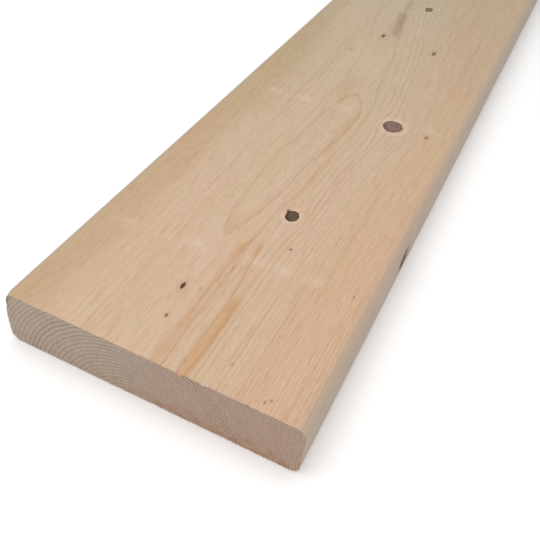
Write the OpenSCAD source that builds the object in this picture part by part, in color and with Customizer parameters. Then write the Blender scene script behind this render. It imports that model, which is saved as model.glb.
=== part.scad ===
// Sawn and planed softwood plank: one stick of dimension lumber with eased long edges.
// It lies on its wide face. +X runs along the grain, +Y across the width, +Z up.
// The origin is the centre of the underside.

/* [Section] */
// Width across the wide face, a nominal 8 in board planed dry
plank_width = 184.15; // [60:0.05:300]
// Thickness between the wide faces, a nominal 2 in board planed dry
plank_thickness = 38.1; // [16:0.1:100]
// Radius that eases the four long edges
eased_edge_radius = 6.5; // [1:0.1:7.9]

/* [Length] */
// Cut length along the grain, 8 ft stock
plank_length = 2438.4; // [600:0.1:6100]

/* [Hidden] */
// Sides of a full circle where an edge is rounded
round_sides = 64;

// Outline of a board across the grain: flat faces that meet in quarter-round edges.
// Drawn with its underside on the X axis and centred left to right.
module eased_section(width, thickness, radius) {
    flat_width = width - 2 * radius;
    flat_thickness = thickness - 2 * radius;
    translate([-flat_width / 2, 0]) square([flat_width, thickness]);
    translate([-width / 2, radius]) square([width, flat_thickness]);
    for (side = [-1, 1], level = [radius, thickness - radius])
        translate([side * flat_width / 2, level]) circle(r = radius, $fn = round_sides);
}

// The plank: its section run straight along the grain, cut square at both ends.
module plank() {
    color("burlywood")
        translate([-plank_length / 2, 0, 0])
            rotate([90, 0, 90])
                linear_extrude(height = plank_length)
                    eased_section(plank_width, plank_thickness, eased_edge_radius);
}

plank();
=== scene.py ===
# %% [markdown]
# # A planed softwood plank
#
# A plank is one stick of sawn timber, planed on four sides, with its long edges eased to a small
# radius and its ends cut square. It has no parts, so everything that makes it look real is in the
# wood: growth rings, knots, resin, and the marks of the saw and the planer.
#
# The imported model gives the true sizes. It is loaded first, and the finished board must fill the
# same box, so that box is kept for the end.

# %% Load the frame
import math

import bpy
import numpy as np
from mathutils import Matrix, Vector


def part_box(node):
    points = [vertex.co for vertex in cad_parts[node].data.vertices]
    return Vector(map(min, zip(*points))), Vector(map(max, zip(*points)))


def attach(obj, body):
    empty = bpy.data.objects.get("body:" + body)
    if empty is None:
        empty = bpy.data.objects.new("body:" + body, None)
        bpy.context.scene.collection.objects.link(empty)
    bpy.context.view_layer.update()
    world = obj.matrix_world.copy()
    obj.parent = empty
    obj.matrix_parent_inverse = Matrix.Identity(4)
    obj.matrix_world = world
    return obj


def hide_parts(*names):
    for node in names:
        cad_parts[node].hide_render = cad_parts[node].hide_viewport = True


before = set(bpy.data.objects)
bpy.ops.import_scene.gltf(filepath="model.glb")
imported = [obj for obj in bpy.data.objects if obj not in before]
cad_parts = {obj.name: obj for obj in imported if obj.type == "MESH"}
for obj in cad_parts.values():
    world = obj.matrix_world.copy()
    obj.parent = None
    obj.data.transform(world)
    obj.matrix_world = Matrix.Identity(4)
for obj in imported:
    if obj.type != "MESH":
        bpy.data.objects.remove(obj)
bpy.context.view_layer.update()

MM = 0.001
board_low, board_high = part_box("plank")
length, width, thickness = board_high - board_low
eased_radius = 6.5 * MM
print("board", [round(size / MM, 2) for size in (length, width, thickness)], "mm")

# %% [markdown]
# ## Arithmetic that builds nodes
#
# Wood is easiest to describe with formulas. Blender's Math node does one sum at a time, so a long
# formula is a long chain of nodes. The class below wraps a socket and gives it plus, minus and so
# on. Each sum then adds its own Math node. The same function can take plain numbers, numpy arrays
# or sockets, in a geometry tree or in a material, so the rings are described only once.

# %% Sockets with arithmetic
class Wire:
    """A value on its way through a node tree."""

    def __init__(self, socket):
        self.socket = socket

    def __add__(self, other):
        return formula("ADD", self, other)

    def __radd__(self, other):
        return formula("ADD", other, self)

    def __sub__(self, other):
        return formula("SUBTRACT", self, other)

    def __rsub__(self, other):
        return formula("SUBTRACT", other, self)

    def __mul__(self, other):
        return formula("MULTIPLY", self, other)

    def __rmul__(self, other):
        return formula("MULTIPLY", other, self)

    def __truediv__(self, other):
        return formula("DIVIDE", self, other)


def tree_of(*values):
    """The node tree that the first wire among the values runs through."""
    return next(value.socket.id_data for value in values if isinstance(value, Wire))


def feed(socket, value):
    """Joins a wire to a socket, or types a plain value into it."""
    if isinstance(value, Wire):
        socket.id_data.links.new(value.socket, socket)
    else:
        socket.default_value = value


def node_with(tree, kind, inputs=(), **settings):
    """Adds a node, sets its options and feeds its sockets, in order or by name."""
    node = tree.nodes.new(kind)
    for name, value in settings.items():
        setattr(node, name, value)
    pairs = inputs.items() if isinstance(inputs, dict) else enumerate(inputs)
    for key, value in pairs:
        feed(node.inputs[key], value)
    return node


def formula(operation, *values):
    """One Math node, fed with the values."""
    return Wire(node_with(tree_of(*values), "ShaderNodeMath", values, operation=operation).outputs[0])


def either(node_name, plain, *values):
    """The node's result if any value is a wire, and numpy's otherwise."""
    if any(isinstance(value, Wire) for value in values):
        return formula(node_name, *values)
    return plain(*values)


def square(value):
    return value * value


def root(value):
    return either("SQRT", np.sqrt, value)


def exp(value):
    return either("EXPONENT", np.exp, value)


def smaller(a, b):
    return either("MINIMUM", np.minimum, a, b)


def larger(a, b):
    return either("MAXIMUM", np.maximum, a, b)


def hill(value, centre, reach):
    """1 at the centre, and falling away smoothly on both sides."""
    return exp(0 - square((value - centre) / reach))


def ramp(value, low, high, start=0.0, end=1.0):
    """From start at low to end at high, with a gentle S between them."""
    if isinstance(value, Wire):
        inputs = {"Value": value, "From Min": low, "From Max": high, "To Min": start, "To Max": end}
        node = node_with(value.socket.id_data, "ShaderNodeMapRange", inputs,
                         interpolation_type="SMOOTHSTEP")
        return Wire(node.outputs[0])
    share = np.clip((value - low) / (high - low), 0, 1)
    return start + (end - start) * share * share * (3 - 2 * share)


def split(vector):
    node = node_with(tree_of(vector), "ShaderNodeSeparateXYZ", [vector])
    return [Wire(output) for output in node.outputs]


def joined(x, y, z):
    return Wire(node_with(tree_of(x, y, z), "ShaderNodeCombineXYZ", [x, y, z]).outputs[0])


def cloud(x, y, z, detail=2.0, rough=0.5):
    """Smooth noise from 0 to 1. The divisors given to x, y and z set the size of its blotches."""
    node = node_with(tree_of(x, y, z), "ShaderNodeTexNoise",
                     {"Vector": joined(x, y, z), "Scale": 1.0, "Detail": detail, "Roughness": rough})
    return Wire(node.outputs[0])


def chance(number):
    """A fixed random value from 0 to 1 for each whole number."""
    node = node_with(tree_of(number), "ShaderNodeTexWhiteNoise", {"W": number}, noise_dimensions="1D")
    return Wire(node.outputs["Value"])


# %% [markdown]
# ## How the tree grew
#
# The board was sawn beside the heart of the trunk: the pith runs 14 to 20 mm below its underside.
# All rings are tubes round the pith, so the ring pattern on any face, the ends included, is the
# distance from that line. Where the pith comes a little closer to the upper face, a ring surfaces
# as a long closed tongue. Away from the pith the rings meet the face steeply and look like
# straight grain. The pith drifts and the trunk tapers, which gives new tongues further along.
#
# Sizes in this part are in millimetres. Distances along the board start at its front end.

# %% The pith and the rings
HALF_LENGTH = length / MM / 2
HALF_WIDTH = width / MM / 2
TOP = thickness / MM
RING = 2.5  # what one year adds while the tree is young
OFF_CENTRE = 0.12  # taken off for each millimetre to the left, which makes the rings there wider
TONGUE_YEAR = 50  # the first tongue's ring ends where the ring with this number begins
TONGUE_GROWTH = 56.9  # and that happens at this distance
SLOWER = 64  # from this distance on, the rings get narrower
SLOWEST = 86  # and from here they are all equally narrow


def pith_across(along):
    """Where the pith lies across the board. It wanders, because no trunk is straight."""
    near = 2.8 - 1.2 * ramp(along, 130, 170) - 8.5 * ramp(along, 190, 290)
    near = near + 44 * ramp(along, 285, 640)
    far = 34 * ramp(along, 1420, 1820) - 26 * ramp(along, 1980, 2400)
    return near - 48 * ramp(along, 760, 1260) + far


def pith_below(along):
    """How far the pith lies under the upper face."""
    tongue = 1.75 * ramp(along, 82, 168) + 0.35 * ramp(along, 170, 260)
    tongue = tongue - 2.3 * ramp(along, 276, 344)
    rises = 2.6 * ramp(along, 700, 1150) + 3.0 * hill(along, 1390, 190) - 2.4 * hill(along, 1960, 220)
    return 57.75 - tongue - rises


def growth_at(along, across, height):
    """Distance from the pith, before knots and ripples. Rings on one side are a little narrower."""
    side = across - pith_across(along)
    return root(square(side) + square(height - TOP + pith_below(along))) - OFF_CENTRE * side


def years_at(growth):
    """Counts the rings. They get narrower as the tree ages, and one ends exactly at the tongue."""
    narrower = smaller(larger(growth - SLOWER, 0.0), SLOWEST - SLOWER)
    narrowest = larger(growth - SLOWEST, 0.0)
    evenly_wide = (growth - TONGUE_GROWTH) / RING + TONGUE_YEAR
    return evenly_wide + 0.0022 * square(narrower) + 0.097 * narrowest


print("the pith is", round(float(pith_below(0.0)) - TOP, 1), "mm below the underside at the front end")

# %% [markdown]
# ## Knots
#
# A knot is a branch cut through. Each branch started at the pith and grew outwards as a narrow
# cone, so the board shows it on every face that the cone crosses, and smaller near the pith. The
# list gives where each one comes out, as a carpenter would note it: how far along, how far across
# or up, its radius, how much it is drawn out along the grain, how dark it is, how strongly it shows,
# and whether a gap has opened beside it.

# %% The list of knots
KNOTS = [
    # face, along, across or up, radius, drawn out, dark, ink, gap
    ("top", 145, -18, 4.5, 1.3, 0.9, 1.0, 0.0),
    ("top", 286.5, -40.5, 7.7, 1.1, 0.25, 1.0, 0.0),
    ("top", 522, -2, 3.9, 1.6, 0.6, 0.85, 0.0),
    ("top", 742, 44, 6.5, 1.1, 0.4, 1.0, 0.0),
    ("top", 760, -30, 3.0, 1.5, 0.8, 0.9, 0.0),
    ("top", 965, 8, 8.0, 1.1, 0.3, 1.0, 0.0),
    ("top", 1080, -58, 4.5, 1.2, 0.9, 1.0, 0.4),
    ("top", 1404, -12, 9.0, 1.1, 0.45, 1.0, 0.0),
    ("top", 1425, 52, 5.0, 1.2, 0.7, 1.0, 0.0),
    ("top", 1655, 22, 3.4, 1.4, 0.9, 0.9, 0.0),
    ("top", 1790, -44, 7.0, 1.1, 0.35, 1.0, 0.0),
    ("top", 2105, 38, 7.6, 1.1, 0.5, 1.0, 0.0),
    ("top", 2260, -26, 4.2, 1.3, 0.8, 1.0, 0.0),
    ("right", 169, 17, 7.0, 1.0, 0.95, 0.9, 1.0),
    ("right", 905, 20, 5.4, 1.3, 0.5, 0.9, 0.0),
    ("right", 1580, 14, 3.2, 1.8, 0.8, 0.9, 0.5),
    ("right", 2190, 24, 4.0, 1.3, 0.4, 0.9, 0.0),
    ("left", 380, 22, 3.8, 1.4, 0.5, 0.9, 0.0),
    ("left", 1150, 16, 4.6, 1.3, 0.8, 1.0, 0.5),
    ("left", 1870, 21, 3.4, 1.6, 0.4, 0.9, 0.0),
]
LEAN = 0.12  # how far a branch runs towards the far end for each millimetre outwards


def branch_facts(knot):
    """Where a branch starts, how it leans, the way to its face, and its size where it comes out."""
    face, along, place, radius, drawn = knot[:5]
    out, facing = {
        "top": ((along, place, TOP), (0, 0, 1)),
        "right": ((along, -HALF_WIDTH, place), (0, -1, 0)),
        "left": ((along, HALF_WIDTH, place), (0, 1, 0)),
    }[face]
    foot = (0.0, float(pith_across(along)), TOP - float(pith_below(along)))
    reach = sum((o - f) * way for o, f, way in zip(out, foot, facing))
    lean = (LEAN, (out[1] - foot[1]) / reach, (out[2] - foot[2]) / reach)
    return (along - LEAN * reach, *foot[1:]), lean, facing, reach, radius, drawn


def branch_reading(point, foot, lean, facing, reach, radius, drawn):
    """Distance from a branch's middle as a share of its radius there, the radius and the offset."""
    from_foot = [p - f for p, f in zip(point, foot)]
    rise = from_foot[0] * facing[0] + from_foot[1] * facing[1] + from_foot[2] * facing[2]
    off = [p - rise * slope for p, slope in zip(from_foot, lean)]
    local = radius * larger(smaller(rise / reach, 1.1), 0.02)
    share = root(square(off[0] / drawn) + square(off[1]) + square(off[2])) / local
    return share, local, off


print(len(KNOTS), "knots, the widest", 2 * max(knot[3] for knot in KNOTS), "mm across")

# %% [markdown]
# ## The blank
#
# The board starts as a square-edged blank: a box whose surface is divided into narrow strips.
# Rings run lengthwise, so the strips are only about a millimetre wide but about 12 mm long, which
# puts the detail where wood has it. Knots are round, so the strips near them are cut into short
# pieces. Short pieces everywhere would make over six times as many triangles.
#
# The lines near the corners are spaced by the tangent of equal angles, so that they end up evenly
# spaced once the corner is rounded.

# %% Lines of the blank
STRIP = 1.2  # width of a strip on the wide faces
EDGE_STRIP = 1.25  # and on the narrow ones
STATION = 12.5  # length of a strip
ARC_STEPS = 6  # strips in half a rounded corner
RADIUS = eased_radius / MM
CUTS = 8  # short pieces that a strip near a knot is cut into
FINE_REACH = 1.9  # how far from a knot's middle they go, in radii of the branch
SMALLEST = 0.9  # where a branch's radius is below this, the strips stay long


def evenly(low, high, step):
    count = max(1, round((high - low) / step))
    return [low + (high - low) * i / count for i in range(count + 1)]


def with_corners(flat_half, step):
    """Lines across a face that is flat in the middle and will be rounded at both ends."""
    corner = [RADIUS * math.tan(math.radians(45 * i / ARC_STEPS)) for i in range(1, ARC_STEPS + 1)]
    flat = evenly(-flat_half, flat_half, step)
    return [-flat_half - c for c in reversed(corner)] + flat + [flat_half + c for c in corner]


lines_across = with_corners(HALF_WIDTH - RADIUS, STRIP)
lines_up = [TOP / 2 + line for line in with_corners(TOP / 2 - RADIUS, EDGE_STRIP)]
near_ends = [0.0, 0.6, 1.8, 3.6, 6.0, 9.0]
middle = evenly(near_ends[-1], 2 * HALF_LENGTH - near_ends[-1], STATION)
stations = near_ends[:-1] + middle + [2 * HALF_LENGTH - s for s in reversed(near_ends[:-1])]
half_way = min(range(len(stations)), key=lambda i: abs(stations[i] - HALF_LENGTH))
print(len(stations), "stations along,", len(lines_across), "lines across,", len(lines_up), "lines up")


# %% [markdown]
# The walk round the section starts in the middle of the underside, where a seam in the surface map
# is never seen. A strip near a knot is cut into short pieces. The strips beside it take the new
# points into their own outline, so the skin stays closed.

# %% Walk round the section
count_across, count_up = len(lines_across), len(lines_up)
start = count_across // 2
walk = [(i, 0) for i in range(start, count_across)]
walk += [(count_across - 1, k) for k in range(1, count_up)]
walk += [(i, count_up - 1) for i in range(count_across - 2, -1, -1)]
walk += [(0, k) for k in range(count_up - 2, -1, -1)]
walk += [(i, 0) for i in range(1, start)]
around = len(walk)
ring_across = np.array([lines_across[i] for i, _ in walk])
ring_up = np.array([lines_up[k] for _, k in walk])

cell_along = (np.array(stations[:-1]) + np.array(stations[1:])) / 2
cell_across = (ring_across + np.roll(ring_across, -1)) / 2
cell_up = (ring_up + np.roll(ring_up, -1)) / 2
grid = np.broadcast_arrays(cell_along[:, None], cell_across[None, :], cell_up[None, :])
fine = np.zeros(grid[0].shape, dtype=bool)
for knot in KNOTS:
    _, local, off = branch_reading(grid, *branch_facts(knot))
    drawn = knot[4]
    beside = np.hypot(off[1], off[2]) < FINE_REACH * local
    ahead = np.abs(off[0]) - STATION / 2 < FINE_REACH * local * drawn
    fine |= beside & ahead & (local > SMALLEST)
print(around, "lines round the section,", int(fine.sum()), "strips cut short near knots")


# %% Build the blank
def build_blank():
    """A closed skin of strips, with the line and point of every strip corner for the map."""
    points = [(s - HALF_LENGTH, a, u) for s in stations for a, u in zip(ring_across, ring_up)]
    extra = {}
    for i, j in zip(*np.nonzero(fine)):
        for side in (int(j), (int(j) + 1) % around):
            if (int(i), side) not in extra:
                first = len(points)
                for cut in range(1, CUTS):
                    s = stations[i] + (stations[i + 1] - stations[i]) * cut / CUTS
                    points.append((s - HALF_LENGTH, ring_across[side], ring_up[side]))
                extra[int(i), side] = list(range(first, len(points)))
    faces, places = [], []
    for i in range(len(stations) - 1):
        for j in range(around):
            after = (j + 1) % around
            near = [i * around + j, *extra.get((i, j), []), (i + 1) * around + j]
            far = [i * around + after, *extra.get((i, after), []), (i + 1) * around + after]
            pieces = [(near, far)]
            if fine[i, j]:
                pieces = [(near[k:k + 2], far[k:k + 2]) for k in range(CUTS)]
            for one, two in pieces:
                faces.append([*reversed(one), *two])
                places.append([(j, p) for p in reversed(one)] + [(j + 1, p) for p in two])
    side_faces = len(faces)
    for end in (0, len(stations) - 1):
        lookup = {spot: end * around + j for j, spot in enumerate(walk)}
        for i in range(1, count_across - 1):
            for k in range(1, count_up - 1):
                lookup[i, k] = len(points)
                points.append((stations[end] - HALF_LENGTH, lines_across[i], lines_up[k]))
        for i in range(count_across - 1):
            for k in range(count_up - 1):
                corner = [lookup[i, k], lookup[i, k + 1], lookup[i + 1, k + 1], lookup[i + 1, k]]
                faces.append(corner if end == 0 else corner[::-1])
    mesh = bpy.data.meshes.new("blank")
    mesh.from_pydata([Vector(p) * MM for p in points], [], faces)
    return mesh, np.array(points), faces, places, side_faces


blank_mesh, blank_points, blank_faces, side_places, side_face_count = build_blank()
print(len(blank_points), "points,", len(blank_faces), "faces in the blank")

# %% [markdown]
# ## A map for the surface
#
# The materials need no map, because they are solid: they read the place in the wood. A map still
# helps anyone who wants to turn the look into a picture. The skin is unrolled into two long strips,
# front half and back half, and both ends are laid side by side above them, drawn larger. The
# underside gets a smaller share of the height than the faces that are seen.

# %% Lay out the map
STRIP_TALL = 0.44  # heights and gaps as shares of the map
END_TALL = 0.1
GAP = 0.004
UNDERSIDE_SHARE = 0.6

steps = np.hypot(np.roll(ring_across, -1) - ring_across, np.roll(ring_up, -1) - ring_up)
steps = np.where(cell_up < 0.01, steps * UNDERSIDE_SHARE, steps)
level = np.concatenate([[0], np.cumsum(steps)])
level = level / level[-1]

corners = []
for row in side_places:
    back = np.mean([blank_points[p][0] for _, p in row]) > stations[half_way] - HALF_LENGTH
    for line, point in row:
        along = (blank_points[point][0] + HALF_LENGTH) / HALF_LENGTH
        across_map = GAP + (1 - 2 * GAP) * (along - back)
        corners.append((across_map, GAP + back * (STRIP_TALL + GAP) + STRIP_TALL * level[line]))
end_wide = END_TALL * width / thickness
for face in blank_faces[side_face_count:]:
    for point in face:
        along, across, up = blank_points[point]
        left = GAP + (along > 0) * (end_wide + GAP)
        corners.append((left + end_wide * (across / HALF_WIDTH + 1) / 2,
                        3 * GAP + 2 * STRIP_TALL + END_TALL * up / TOP))
layer = blank_mesh.uv_layers.new(name="OFBake")
layer.uv.foreach_set("vector", np.array(corners, dtype=np.float32).ravel())
cap = blank_mesh.attributes.new("end_cut", "FLOAT", "FACE")
cap.data.foreach_set("value", (np.arange(len(blank_faces)) >= side_face_count).astype(np.float32))
print("map corners", len(corners))

# %% [markdown]
# ## Rings, drawn once for shape and colour
#
# Within one year a softwood tree first lays down pale, soft wood and then a thin dark, hard line,
# which ends sharply. The function below turns the distance from the pith into that profile. Some
# years were dry and left a strong line, others hardly any, so each ring gets its own strength.

# %% One year's wood
def year_profile(growth, soft_part=0.35, alike=0.0):
    """How dark and hard the wood is, from 0 to 1. The soft part is the slow rise before the line."""
    years = years_at(growth)
    number = formula("FLOOR", years)
    within = years - number
    tongue = hill(number, TONGUE_YEAR - 1, 0.4)
    rise = soft_part * ramp(within, 0.4, 0.9) + (1 - soft_part) * ramp(within, 0.74, 0.95)
    rise = rise * (1 - 0.7 * tongue) + 0.7 * tongue * ramp(within, 0.86, 0.95)
    late = rise * ramp(within, 1.0, 0.98)
    strength = (0.25 + 0.6 * chance(number)) * (1 - alike) + 0.7 * alike
    dry_years = 0.4 * hill(growth, 66.5, 3.0)
    return late * larger(smaller(strength + dry_years, 1.0), tongue)


# %% [markdown]
# ## The board, in Geometry Nodes
#
# One tree takes the blank through the steps of a sawmill. First the planer rounds the long edges.
# Then the wood is read at every point: how far it grew from the pith, and how close it is to a
# knot. Those readings are stored on the mesh, because the material needs them too. Last, the
# surface is worn: soft wood sinks a tenth of a millimetre between the hard lines, knots open, and
# the saw leaves the ends rough.

# %% A node group for one knot
def vector_socket(tree, name, in_out="INPUT"):
    return tree.interface.new_socket(name=name, in_out=in_out, socket_type="NodeSocketVector")


def number_socket(tree, name, in_out="INPUT"):
    return tree.interface.new_socket(name=name, in_out=in_out, socket_type="NodeSocketFloat")


BRANCH_INPUTS = ("Foot", "Lean", "Facing", "Reach", "Radius", "Drawn Out")
BEND = 0.9  # how strongly the grain is pushed aside at a branch's middle, from 0 to 1
BEND_ALONG = 2.6  # how far that reaches along the grain, in radii of the branch
BEND_ACROSS = 1.9  # and across it


def knot_group():
    """Reads one branch: how it bends the grain, how close it is, and the place across it."""
    tree = bpy.data.node_groups.new("Knot", "GeometryNodeTree")
    for name in ("Point", "Foot", "Lean", "Facing"):
        vector_socket(tree, name)
    for name in ("Reach", "Radius", "Drawn Out"):
        number_socket(tree, name)
    vector_socket(tree, "Bend", "OUTPUT")
    number_socket(tree, "Share", "OUTPUT")
    vector_socket(tree, "Place", "OUTPUT")
    given = {o.name: Wire(o) for o in tree.nodes.new("NodeGroupInput").outputs if o.name}
    point, foot, lean, facing = (split(given[name]) for name in ("Point", "Foot", "Lean", "Facing"))
    drawn = given["Drawn Out"]
    share, local, off = branch_reading(point, foot, lean, facing, given["Reach"], given["Radius"], drawn)
    lengthwise = off[0] / (local * drawn * BEND_ALONG)
    sideways = root(square(off[1]) + square(off[2])) / (local * BEND_ACROSS)
    pull = BEND * exp(0 - square(lengthwise) - square(sideways))
    side = (off[1] + off[2]) / local
    result = tree.nodes.new("NodeGroupOutput")
    feed(result.inputs["Bend"], joined(0.0, off[1] * pull, off[2] * pull))
    feed(result.inputs["Share"], share)
    feed(result.inputs["Place"], joined(off[0] / (local * drawn), side, 0.0))
    return tree


one_knot = knot_group()
print("nodes in the knot group:", len(one_knot.nodes))

# %% The board tree
def stored(tree, geometry, name, value, kind="FLOAT"):
    """Writes a reading onto the points, where the next steps and the material find it."""
    node = node_with(tree, "GeometryNodeStoreNamedAttribute", data_type=kind, domain="POINT")
    feed(node.inputs["Geometry"], geometry)
    feed(node.inputs["Name"], name)
    feed(node.inputs["Value"], value)
    return Wire(node.outputs[0])


def attribute(tree, name, kind="FLOAT"):
    node = node_with(tree, "GeometryNodeInputNamedAttribute", [name], data_type=kind)
    return Wire(node.outputs[0])


def chosen(share, a, b, kind="FLOAT"):
    """a where share is 0, and b where it is 1."""
    first = {"FLOAT": 2, "VECTOR": 4, "RGBA": 6}[kind]
    out = {"FLOAT": 0, "VECTOR": 1, "RGBA": 2}[kind]
    node = node_with(tree_of(share, a, b), "ShaderNodeMix", {0: share, first: a, first + 1: b},
                     data_type=kind)
    return Wire(node.outputs[out])


def gap_beside(share, place_x, place_y):
    """The hole where a loose knot has torn away, over its front half."""
    return ramp(share, 1.05, 0.85) * ramp(place_x - 0.2 * place_y, 0.3, -0.2)


def planed(tree, geometry, given):
    """Rounds the long edges: a point in a corner's square moves onto the circle of the same size."""
    x, y, z = split(Wire(tree.nodes.new("GeometryNodeInputPosition").outputs[0]))
    middle_up = given["Thickness"] / 2
    flat_across = given["Width"] / 2 - given["Edge Radius"]
    flat_up = middle_up - given["Edge Radius"]
    core_y = larger(smaller(y, flat_across), 0 - flat_across)
    core_z = larger(smaller(z - middle_up, flat_up), 0 - flat_up)
    off_y, off_z = y - core_y, z - middle_up - core_z
    square_size = larger(formula("ABSOLUTE", off_y), formula("ABSOLUTE", off_z))
    shrink = square_size / larger(root(square(off_y) + square(off_z)), 1e-9)
    moved = joined(x, core_y + off_y * shrink, core_z + off_z * shrink + middle_up)
    settled = node_with(tree, "GeometryNodeSetPosition", {"Geometry": geometry, "Position": moved})
    return Wire(settled.outputs[0])


def wood_read(tree, geometry, given):
    """Stores the growth, and the share, place, kind and gap of the nearest knot."""
    position = Wire(tree.nodes.new("GeometryNodeInputPosition").outputs[0])
    x, y, z = (part / MM for part in split(position))
    along = x + given["Length"] / MM / 2
    point = joined(along, y, z)
    bend_y = bend_z = 0.0
    share, place, kind, gap = 50.0, (0.0, 0.0, 0.0), (0.0, 0.0, 0.0), 0.0
    for number, knot in enumerate(KNOTS):
        dark, ink, opened = knot[5:]
        node = node_with(tree, "GeometryNodeGroup", node_tree=one_knot)
        feed(node.inputs["Point"], point)
        for name, value in zip(BRANCH_INPUTS, branch_facts(knot)):
            feed(node.inputs[name], value)
        _, knot_y, knot_z = split(Wire(node.outputs["Bend"]))
        bend_y, bend_z = bend_y + knot_y, bend_z + knot_z
        here = Wire(node.outputs["Share"])
        closer = formula("LESS_THAN", here, share)
        place = chosen(closer, place, Wire(node.outputs["Place"]), "VECTOR")
        kind = chosen(closer, kind, (number * 7.3, dark, ink), "VECTOR")
        gap = chosen(closer, gap, opened)
        share = smaller(here, share)
    ripple = 1.5 * (cloud(along / 75, y / 16, z / 16, detail=1.0) - 0.5)
    growth = growth_at(along, y - bend_y, z - bend_z) + ripple
    geometry = stored(tree, geometry, "growth", growth)
    geometry = stored(tree, geometry, "knot_share", share)
    geometry = stored(tree, geometry, "knot_place", place, "FLOAT_VECTOR")
    geometry = stored(tree, geometry, "knot_kind", kind, "FLOAT_VECTOR")
    return stored(tree, geometry, "knot_gap", gap)


TORN_CHIPS = [
    # where the saw tore the upper edge of the front end: across, half width, depth
    (-20.5, 1.4, 2.2),
    (-27, 3.0, 0.9),
    (-34, 2.0, 1.5),
    (22, 2.6, 0.8),
    (61, 2.0, 0.9),
    (-62, 2.4, 0.8),
]
HOLE_DEEP = 4.5
SAW_DEEP = 0.35
BRUISE_DEEP = 1.3


def rim_distance(x, y, z, given):
    """How far a point is from the nearest sharp edge of a cut end, over the end or along a side."""
    radius = given["Edge Radius"] / MM
    middle = given["Thickness"] / MM / 2
    past_y = formula("ABSOLUTE", y) - (given["Width"] / MM / 2 - radius)
    past_z = formula("ABSOLUTE", z - middle) - (middle - radius)
    corner = root(square(larger(past_y, 0.0)) + square(larger(past_z, 0.0)))
    below_skin = radius - corner - smaller(larger(past_y, past_z), 0.0)
    from_end = given["Length"] / MM / 2 - formula("ABSOLUTE", x)
    return larger(below_skin, 0.0) + from_end


def depth_of_knots(tree, lumps):
    """How low the nearest knot lies, with the seam round a dead one and the hole of a torn one."""
    share = attribute(tree, "knot_share")
    place_x, place_y, _ = split(attribute(tree, "knot_place", "FLOAT_VECTOR"))
    _, dark, ink = split(attribute(tree, "knot_kind", "FLOAT_VECTOR"))
    edge = share + 0.3 * (lumps - 0.5)
    sunk = ramp(edge, 1.05, 0.9) * (0.08 + 0.25 * dark) * ink
    seam = hill(edge, 1.0, 0.12) * dark * ink * 0.35
    hole = HOLE_DEEP * gap_beside(share, place_x, place_y) * attribute(tree, "knot_gap")
    return sunk + seam + hole


def depth_of_chips(x, y, z, given):
    """How deep the rims of the cut ends are blunted, chipped and torn, most of all the upper ones."""
    rim = rim_distance(x, y, z, given)
    small = ramp(cloud(y / 2.5, z / 2.5, x / 9), 0.5, 0.72) * hill(rim, 0.0, 1.0)
    large = ramp(cloud(y / 7, z / 7, x / 9), 0.6, 0.72) * hill(rim, 0.0, 2.2)
    chips = (small + 1.2 * large) * ramp(z, 26, 37, 0.3, 1.0) * given["Arris Wear"]
    torn = 0.0
    for place, wide, deep in TORN_CHIPS:
        torn = torn + deep * hill(y, place, wide) * ramp(z, 30, 36)
    torn = torn * hill(rim, 0.0, 2.0) * ramp(x, 0, -1)
    bruise = BRUISE_DEEP * hill(x + HALF_LENGTH, 0, 3) * hill(y, HALF_WIDTH, 6) * ramp(z, 18, 36)
    return 0.12 * hill(rim, 0.0, 0.7) + chips + torn + bruise


def worn(tree, geometry, given):
    """Moves the surface inwards only, so that the board never outgrows its planed size."""
    position = Wire(tree.nodes.new("GeometryNodeInputPosition").outputs[0])
    normal = Wire(tree.nodes.new("GeometryNodeInputNormal").outputs[0])
    x, y, z = (part / MM for part in split(position))
    on_end = ramp(formula("ABSOLUTE", split(normal)[0]), 0.8, 0.95)
    hard = year_profile(attribute(tree, "growth"))
    grain = (1 - hard) * given["Grain Relief"] * (1 + on_end)
    knots = depth_of_knots(tree, cloud(x / 3, y / 3, z / 3))
    saw_marks = cloud(y / 1.6, z / 14, x / 50, detail=3.0) * on_end * SAW_DEEP
    chips = depth_of_chips(x, y, z, given)
    handling = ramp(cloud(x / 60, y / 9, z / 9), 0.55, 0.8) * 0.12
    depth = (grain + knots + saw_marks + chips + handling) * (0 - MM)
    offset = node_with(tree, "ShaderNodeVectorMath", {0: normal, "Scale": depth}, operation="SCALE")
    moved = node_with(tree, "GeometryNodeSetPosition",
                      {"Geometry": geometry, "Offset": Wire(offset.outputs[0])})
    return Wire(moved.outputs[0])


def board_tree():
    tree = bpy.data.node_groups.new("Planed board", "GeometryNodeTree")
    tree.is_modifier = True
    tree.interface.new_socket(name="Blank", in_out="INPUT", socket_type="NodeSocketGeometry")
    for name in ("Length", "Width", "Thickness", "Edge Radius", "Grain Relief", "Arris Wear"):
        number_socket(tree, name)
    tree.interface.new_socket(name="Wood", in_out="INPUT", socket_type="NodeSocketMaterial")
    tree.interface.new_socket(name="Board", in_out="OUTPUT", socket_type="NodeSocketGeometry")
    given = {o.name: Wire(o) for o in tree.nodes.new("NodeGroupInput").outputs if o.name}
    geometry = planed(tree, given["Blank"], given)
    geometry = wood_read(tree, geometry, given)
    geometry = worn(tree, geometry, given)
    smooth = node_with(tree, "GeometryNodeSetShadeSmooth", {"Geometry": geometry})
    real = node_with(tree, "GeometryNodeRealizeInstances", {"Geometry": Wire(smooth.outputs[0])})
    dressed = node_with(tree, "GeometryNodeSetMaterial",
                        {"Geometry": Wire(real.outputs[0]), "Material": given["Wood"]})
    feed(tree.nodes.new("NodeGroupOutput").inputs[0], Wire(dressed.outputs[0]))
    return tree


planing = board_tree()
print("nodes in the board tree:", len(planing.nodes))

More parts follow.
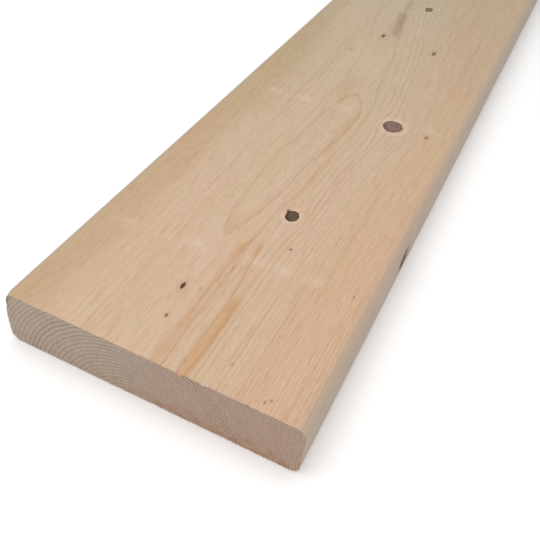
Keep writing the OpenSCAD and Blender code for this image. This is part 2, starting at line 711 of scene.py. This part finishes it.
# %% [markdown]
# ## The finish
#
# Planed softwood is dull, with a faint sheen. Its colour is built up in thin layers, as it is in
# the wood: a pale tan that turns warmer away from the pith, clouds of pink and yellow, fine
# fibres, the dark lines of the rings, and then what happened to this board: resin, stain, knots.
# Colours are written as they look on a screen, from 0 to 255, and turned into light values here.

# %% Colour helpers
def paint(red, green, blue):
    """A screen colour as the light values that a shader wants."""
    def light(value):
        value = value / 255
        return value / 12.92 if value <= 0.04045 else ((value + 0.055) / 1.055) ** 2.4
    return (light(red), light(green), light(blue), 1.0)


def tinted(share, colour, tint):
    """Multiplies the colour by a tint, as far as share says."""
    node = node_with(tree_of(share, colour), "ShaderNodeMix", {0: share, 6: colour, 7: (*tint, 1.0)},
                     data_type="RGBA", blend_type="MULTIPLY")
    return Wire(node.outputs[2])


def painted(share, colour, over):
    return chosen(share, colour, over, "RGBA")


def surface_attribute(tree, name, output):
    node = node_with(tree, "ShaderNodeAttribute", attribute_type="GEOMETRY", attribute_name=name)
    return Wire(node.outputs[output])


# %% [markdown]
# ### Marks that belong to this board
#
# Resin shows as orange streaks along the grain, among thin dark lines and a few grey stains. The
# rollers of the planer leave faint pale bands across the board, and the smallest twigs show as pin
# knots. Each kind of mark has a short list of places.

# %% Streaks, stains and bands
RESIN = [
    # along and across at both ends, half width, strength
    (-20, -7.5, 108, -3.5, 3.6, 0.45),
    (-20, -22, 60, -21.5, 3.8, 1.0),
    (56, -18.5, 108, -13, 1.8, 0.5),
    (56, -22, 92, -21, 1.8, 0.35),
    (98, -4, 106, -4, 2.0, 0.6),
    (100, -14, 111, -13, 2.0, 0.5),
    (115, -25.5, 123, -24.5, 1.8, 0.4),
    (150, -13, 222, -15, 2.0, 0.4),
    (225, -9, 292, -12, 3.0, 0.55),
    (300, 9, 345, 12, 3.5, 0.5),
    (1150, 20, 1260, 26, 1.6, 0.5),
    (1700, -30, 1790, -36, 1.8, 0.5),
]
DARK_LINES = [
    # the same columns as for resin
    (-20, -10.5, 40, -8, 0.8, 0.5),
    (36, -8, 84, -7.8, 0.6, 0.6),
    (78, -7.8, 112, -6.3, 0.5, 0.5),
    (-20, -25, 58, -24.5, 0.7, 0.45),
    (-20, -18.5, 56, -18.3, 0.5, 0.3),
    (60, -18.5, 112, -13, 0.5, 0.4),
]
STAINS = [
    # the same columns again
    (441, 8.5, 496, 17, 5.4, 0.75),
    (460, 12.5, 580, 22, 4.0, 0.5),
    (1480, -20, 1640, -8, 5.0, 0.6),
]
ROLLER_BANDS = (92, 290, 890, 1090, 1490, 2090, 2290)
PIN_KNOTS = [
    # along, across, radius, drawn out, strength
    (148.6, -13.7, 1.6, 1.3, 1.0),
    (31, 6, 1.0, 1.7, 0.75),
    (55, 10, 1.7, 2.2, 1.0),
    (58, 0.5, 0.8, 1.5, 0.3),
    (115, -30.5, 0.9, 1.3, 0.7),
    (97, -79, 0.9, 1.5, 0.3),
    (286, -68, 1.9, 1.6, 0.5),
    (390, 33.5, 1.4, 2.0, 0.35),
    (428, -34, 2.0, 2.3, 0.75),
    (434, 18, 2.1, 2.6, 0.85),
    (6, -66, 0.9, 1.2, 0.5),
    (8.5, -68.5, 0.8, 1.2, 0.5),
    (19, -41, 0.9, 1.4, 0.3),
    (1236, 30, 2.0, 2.0, 0.8),
    (1310, -62, 1.6, 2.2, 0.7),
    (1988, 5, 2.4, 1.8, 0.8),
]


def streak(along, across, ends, blur):
    """1 on the line between two places on the board, fading over the half width."""
    from_along, from_across, to_along, to_across, half_wide, strength = ends
    slope = (to_across - from_across) / (to_along - from_along)
    line = (along - from_along) * slope + from_across
    soft = larger(6.0, 0.2 * (to_along - from_along))
    inside = ramp(along, from_along - soft, from_along + soft / 2)
    inside = inside * ramp(along, to_along + soft / 2, to_along - soft / 2)
    return hill(across, line, half_wide) * inside * blur * strength


def all_marks(along, across, marks, blur):
    """All streaks of one list together, from 0 to 1."""
    total = 0.0
    for ends in marks:
        total = streak(along, across, ends, blur) + total
    return smaller(total, 1.0)


def roller_bands(along, across):
    """Faint pale bands across the board, about 200 mm apart. Not every turn leaves one."""
    total = 0.0
    for place in ROLLER_BANDS:
        total = hill(along + across * 0.1, place, 4.0) + total
    patchy = ramp(cloud(along / 40, across / 14, 0.0), 0.38, 0.72)
    return total * patchy * ramp(formula("ABSOLUTE", across), 88, 66)


def pin_knots(along, across, height, lumps):
    """The soft brown surround and the dark core of all pin knots, each from 0 to 1."""
    surround = core = 0.0
    for s, a, radius, drawn, strength in PIN_KNOTS:
        apart = root(square((along - s) / drawn) + square(across - a)) / radius + 0.6 * (lumps - 0.5)
        surround = strength * ramp(apart, 2.8, 0.7) + surround
        core = strength * ramp(apart, 1.0, 0.55) + core
    on_top = ramp(height, TOP - 2, TOP - 1)
    return surround * on_top, core * on_top


# %% [markdown]
# ### The planed faces
#
# Most layers are tints, which can only darken what is already there, so the plain wood comes
# first. Then come the fibres and rings, a painted cool falloff of the light along the board,
# painted shade on the long edges, and the marks. The few pale things, such as light flecks and
# the planer's bands, are thin coats of paint.

# %% The planed faces
def ground_colour(along, across, height, growth):
    """The inner wood, the warmer outer wood, and clouds of pink, yellow and tan over both."""
    outer = painted(ramp(across, 70, -70), paint(186, 158, 127), paint(199, 167, 139))
    youth = growth + 6 * ramp(across, -10, 30)
    colour = painted(ramp(youth, 72, 96), paint(198, 171, 145), outer)
    pink = cloud(along / 130, across / 16, height / 16, detail=3.0)
    colour = tinted(ramp(pink, 0.5, 0.75, 0.0, 0.8), colour, (1.0, 0.93, 0.93))
    colour = tinted(ramp(pink, 0.5, 0.25, 0.0, 0.8), colour, (0.96, 0.99, 0.92))
    band = cloud(along / 300, across / 5, height / 5, detail=2.0)
    return tinted(ramp(band, 0.5, 0.75, 0.0, 0.8), colour, (0.95, 0.92, 0.88))


def with_grain(colour, along, across, height, growth, hard, fibre):
    """Adds fibres, short dark flecks and a few light ones, and the lines of the rings."""
    colour = tinted(ramp(fibre, 0.45, 0.75), colour, (0.91, 0.87, 0.82))
    flecks = cloud(along / 4.5, across / 1.1, height / 1.1, detail=2.0)
    colour = tinted(ramp(flecks, 0.5, 0.72), colour, (0.93, 0.9, 0.87))
    colour = painted(ramp(flecks, 0.38, 0.25, 0.0, 0.12), colour, paint(226, 206, 182))
    contrast = larger(ramp(across, 60, -40, 0.25, 1.0), 0.6 * hill(across, 40, 8))
    colour = tinted(hard * contrast, colour, (0.85, 0.775, 0.7))
    threads = cloud(growth / 0.45, along / 60, 0.0, detail=1.0)
    return tinted(ramp(threads, 0.5, 0.75, 0.0, 0.8) * contrast, colour, (0.94, 0.91, 0.87))


def with_painted_falloff_and_edge_shade(colour, along, across):
    """Paints a cool light falloff that peaks a quarter along, and painted shade on the long edges."""
    # Painted light: a cool falloff of the light along the board, tinted into the wood.
    painted_falloff = ramp(along, 40, 620) * ramp(along, 1500, 640)
    colour = tinted(painted_falloff, colour, (0.84, 0.96, 0.965))
    # Painted shade: greys the eased edges and the narrow sides.
    painted_edge_shade = ramp(formula("ABSOLUTE", across), 84, 91.8, 0.0, 0.6)
    return painted(painted_edge_shade, colour, paint(165, 156, 146))


def with_marks(colour, along, across, height, lumps):
    """Adds resin, dark lines, stains, planer bands and pin knots, all on the upper face."""
    on_top = ramp(height, TOP - 9, TOP - 3)
    broken = ramp(cloud(along / 14, across / 1.4, height / 3), 0.25, 0.65, 0.45, 1.0)
    resin = all_marks(along, across, RESIN, 0.4 + 0.6 * broken) * on_top
    colour = tinted(resin, colour, (0.93, 0.76, 0.56))
    lines = all_marks(along, across, DARK_LINES, broken) * on_top
    colour = tinted(lines, colour, (0.74, 0.62, 0.5))
    stains = all_marks(along, across, STAINS, broken) * on_top
    colour = tinted(stains, colour, (0.7, 0.66, 0.61))
    bands = roller_bands(along, across) * on_top * 0.23
    colour = painted(bands, colour, paint(226, 206, 184))
    surround, core = pin_knots(along, across, height, lumps)
    colour = tinted(surround * 0.6, colour, (0.87, 0.74, 0.67))
    return tinted(core, colour, (0.17, 0.11, 0.09))


def face_colour(along, across, height, growth, lumps):
    """The colour of planed wood without its knots, and how hard and how fibrous it is."""
    shiver = 0.35 * (cloud(along / 14, across / 3, height / 3) - 0.5)
    hard = year_profile(growth + shiver)
    fibre = cloud(along / 16, across / 0.8, height / 0.8, detail=3.0)
    colour = ground_colour(along, across, height, growth)
    colour = with_grain(colour, along, across, height, growth, hard, fibre)
    colour = with_painted_falloff_and_edge_shade(colour, along, across)
    return with_marks(colour, along, across, height, lumps), hard, fibre


# %% [markdown]
# ### The cut ends
#
# End grain drinks light: the saw cuts every fibre open, so the ends are greyer and darker than the
# faces. The hard wood of each year stands out much more than it does on the faces.

# %% The cut ends
def end_colour(along, across, height, growth):
    """The colour of a sawn end, how hard the wood is, and the scratches of the saw."""
    shiver = 0.5 * (cloud(across / 2.5, height / 2.5, along / 9) - 0.5)
    hard = year_profile(growth + shiver, 0.6, 0.65)
    colour = painted(ramp(across, 70, -70), paint(179, 163, 147), paint(182, 156, 137))
    saw = cloud(across / 0.9, height / 9, along / 60, detail=3.0)
    colour = tinted(ramp(saw, 0.42, 0.72, 0.0, 0.8), colour, (0.86, 0.84, 0.83))
    pores = cloud(across / 0.7, height / 0.7, along / 9, detail=2.0)
    colour = tinted(ramp(pores, 0.48, 0.72), colour, (0.74, 0.71, 0.68))
    contrast = ramp(across, 50, -10, 0.75, 1.0)
    colour = tinted(hard * contrast, colour, (0.46, 0.41, 0.37))
    blotch = cloud(across / 9, height / 5, along / 9, detail=3.0)
    colour = tinted(ramp(blotch, 0.45, 0.7, 0.0, 0.5), colour, (0.93, 0.9, 0.9))
    low = ramp(height, 15, 1) * ramp(blotch, 0.44, 0.6) * ramp(across, 30, -10, 0.3, 1.0)
    return tinted(low * 0.85, colour, (0.98, 0.8, 0.62)), hard, saw


# %% [markdown]
# ### Knots
#
# A sound knot is browner than the wood and has its own rings. Wood that grew round a branch is
# dense and a little pale. A dead branch leaves a dark rim, and sometimes a crack. One that has
# torn loose leaves a hole and a brown stain round it. The hole's walls are painted near-black,
# partly as dark bark and partly as painted shade.

# %% Knots over the wood
def knot_colour(colour, share, place, kind, gap, lumps):
    """Paints the nearest knot over the colour of the wood."""
    place_x, place_y, _ = split(place)
    seed, dark, ink = split(kind)
    edge = share + 0.3 * (lumps - 0.5)
    collar = ramp(edge, 2.2, 1.2) * ramp(edge, 0.98, 1.1) * 0.22 * ink
    colour = painted(collar, colour, paint(222, 196, 178))
    wrap = hill(edge, 1.75, 0.14) * 0.35 * ink
    colour = tinted(wrap, colour, (0.84, 0.76, 0.72))
    stain = ramp(edge, 2.1, 1.0) * gap
    colour = tinted(stain, colour, (0.66, 0.55, 0.48))
    rings = formula("SINE", share * 17 + lumps * 6 + seed) * 0.5 + 0.5
    heart = painted(dark, paint(141, 111, 100), paint(88, 68, 52))
    heart = tinted(rings * 0.4, heart, (0.78, 0.72, 0.7))
    heart = tinted(ramp(lumps, 0.5, 0.68, 0.0, 0.8), heart, (0.7, 0.66, 0.62))
    rim = hill(edge, 0.93, 0.14) * (0.4 + 0.55 * dark)
    heart = tinted(rim, heart, (0.36, 0.28, 0.23))
    shade = ramp(share, 0.35, 0.85) * ramp(place_y - 0.6 * place_x, 0.1, 0.8) * dark
    heart = tinted(shade, heart, (0.4, 0.33, 0.3))
    inside = ramp(edge, 1.05, 0.93)
    colour = painted(inside * ink, colour, heart)
    bent = place_y + 0.3 * square(place_x) + 0.35 * (lumps - 0.5)
    crack = hill(bent, -0.25, 0.08) * ramp(place_x, 1.7, 0.9) * ramp(place_x, -0.2, 0.3) * dark * ink
    colour = tinted(smaller(crack, 0.8), colour, (0.4, 0.33, 0.28))
    # Painted near-black walls of the torn hole: partly dark bark, partly painted shade in the hole.
    hole_shade_and_bark = ramp(gap_beside(share, place_x, place_y), 0.0, 0.16) * gap
    return painted(hole_shade_and_bark, colour, paint(46, 34, 28))


# %% The softwood material
def softwood():
    material = bpy.data.materials.new("planed_softwood")
    material.use_nodes = True
    tree = material.node_tree
    shader = tree.nodes["Principled BSDF"]
    place = Wire(tree.nodes.new("ShaderNodeTexCoord").outputs["Object"])
    x, across, height = (part / MM for part in split(place))
    along = x + HALF_LENGTH
    growth = surface_attribute(tree, "growth", "Fac")
    share = surface_attribute(tree, "knot_share", "Fac")
    knot_place = surface_attribute(tree, "knot_place", "Vector")
    knot_kind = surface_attribute(tree, "knot_kind", "Vector")
    gap = surface_attribute(tree, "knot_gap", "Fac")
    end_cut = surface_attribute(tree, "end_cut", "Fac")
    lumps = cloud(along / 4, across / 4, height / 4, detail=3.0)
    colour, hard, fibre = face_colour(along, across, height, growth, lumps)
    colour = knot_colour(colour, share, knot_place, knot_kind, gap, lumps)
    sawn, sawn_hard, saw = end_colour(along, across, height, growth)
    feed(shader.inputs["Base Color"], painted(end_cut, colour, sawn))
    feed(shader.inputs["Roughness"], 0.58 + 0.14 * fibre - 0.06 * hard + 0.2 * end_cut)
    shader.inputs["Specular IOR Level"].default_value = 0.25
    relief = chosen(end_cut, 0.5 * hard + 0.35 * fibre, 0.8 * sawn_hard + 0.9 * saw)
    bump = node_with(tree, "ShaderNodeBump", {"Strength": 0.5, "Distance": 0.1 * MM, "Height": relief})
    feed(shader.inputs["Normal"], Wire(bump.outputs[0]))
    return material


wood = softwood()
print("nodes in the material:", len(wood.node_tree.nodes))

# %% [markdown]
# ## Run the sawmill
#
# The modifier's inputs are set through each socket's identifier, before the board is evaluated.
# The evaluated result becomes a plain mesh on an object at the origin, and the blank is thrown
# away. Edges sharper than 35 degrees stay crisp: the rim of the cut ends and the torn knot.

# %% Plane the board
blank = bpy.data.objects.new("blank", blank_mesh)
bpy.context.scene.collection.objects.link(blank)
modifier = blank.modifiers.new("sawmill", "NODES")
modifier.node_group = planing
settings = {
    "Length": length,
    "Width": width,
    "Thickness": thickness,
    "Edge Radius": eased_radius,
    "Grain Relief": 0.12,
    "Arris Wear": 1.0,
    "Wood": wood,
}
for item in planing.interface.items_tree:
    if item.in_out == "INPUT" and item.name in settings:
        modifier[item.identifier] = settings[item.name]
depsgraph = bpy.context.evaluated_depsgraph_get()
board_mesh = bpy.data.meshes.new_from_object(blank.evaluated_get(depsgraph),
                                             preserve_all_data_layers=True, depsgraph=depsgraph)
blank.modifiers.remove(modifier)
bpy.data.objects.remove(blank)
board_mesh.name = "board"
board_mesh.set_sharp_from_angle(angle=math.radians(35))
board = bpy.data.objects.new("board", board_mesh)
bpy.context.scene.collection.objects.link(board)
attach(board, "root")
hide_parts("plank")
board_mesh.calc_loop_triangles()
print("board:", len(board_mesh.loop_triangles), "triangles,", [a.name for a in board_mesh.attributes])

# %% [markdown]
# ## Floor and light
#
# The board lies on a plain pale floor, lit as in a small studio: an even pale sky that fills the
# shadows, and one large soft lamp above the front end. The sky shows only behind the floor's far
# edge, and it is as plain as the floor.

# %% Floor
FLOOR_HALF = 14.0
FLOOR_GAP = 0.3 * MM  # keeps the floor clear of the underside


def studio_floor():
    floor_level = board_low.z - FLOOR_GAP
    signs = ((-1, -1), (1, -1), (1, 1), (-1, 1))
    mesh = bpy.data.meshes.new("floor")
    mesh.from_pydata([(x * FLOOR_HALF, y * FLOOR_HALF, floor_level) for x, y in signs], [], [(0, 1, 2, 3)])
    floor = bpy.data.objects.new("floor", mesh)
    bpy.context.scene.collection.objects.link(floor)
    material = bpy.data.materials.new("pale_floor")
    material.use_nodes = True
    shader = material.node_tree.nodes["Principled BSDF"]
    shader.inputs["Base Color"].default_value = (0.97, 0.97, 0.97, 1)
    shader.inputs["Roughness"].default_value = 0.9
    shader.inputs["Specular IOR Level"].default_value = 0.0
    mesh.materials.append(material)


studio_floor()

# %% Light
SKY = 0.72
LAMP_WIDE = 1.4
LAMP_POWER = 10  # watts
LAMP_PLACE = Vector((-0.05, 0.1, 1.3))  # from the middle of the front end's lower edge
LAMP_AIM = Vector((0.15, 0, 0))


def studio_light():
    world = bpy.data.worlds.new("studio")
    world.use_nodes = True
    background = world.node_tree.nodes["Background"]
    background.inputs["Color"].default_value = (1.0, 1.0, 1.0, 1)
    background.inputs["Strength"].default_value = SKY
    bpy.context.scene.world = world
    lamp = bpy.data.lights.new("soft_lamp", "AREA")
    lamp.shape = "DISK"
    lamp.size = LAMP_WIDE
    lamp.energy = LAMP_POWER
    key = bpy.data.objects.new("soft_lamp", lamp)
    key.location = Vector((board_low.x, 0, 0)) + LAMP_PLACE
    key.rotation_euler = (LAMP_AIM - LAMP_PLACE).to_track_quat("-Z", "Y").to_euler()
    bpy.context.scene.collection.objects.link(key)
    bpy.context.scene.view_settings.view_transform = "Standard"


studio_light()

# %% [markdown]
# ## Camera
#
# The camera stands just off the front end and looks down along the board, turned a little so that
# the board runs from corner to corner of the picture.

# %% Camera
SENSOR_WIDE = 36
LENS = 45.86
CAMERA_PLACE = Vector((-0.183, -0.1306, 0.3209))  # from the middle of the front end's lower edge
HEADING = 20.56  # degrees left of the board's own direction
DIP = 43.91  # degrees down
ROLL = 7.4  # degrees to the left


def turned(degrees, axis):
    return Matrix.Rotation(math.radians(degrees), 4, axis)


def place_camera():
    data = bpy.data.cameras.new("camera")
    data.sensor_width = SENSOR_WIDE
    data.lens = LENS
    data.clip_start = 0.01
    camera = bpy.data.objects.new("camera", data)
    bpy.context.scene.collection.objects.link(camera)
    turn = turned(HEADING - 90, "Z") @ turned(90 - DIP, "X") @ turned(ROLL, "Z")
    turn.translation = Vector((board_low.x, 0, 0)) + CAMERA_PLACE
    camera.matrix_world = turn
    bpy.context.scene.camera = camera
    return camera


camera = place_camera()
print("camera at", [round(v, 3) for v in camera.matrix_world.translation])
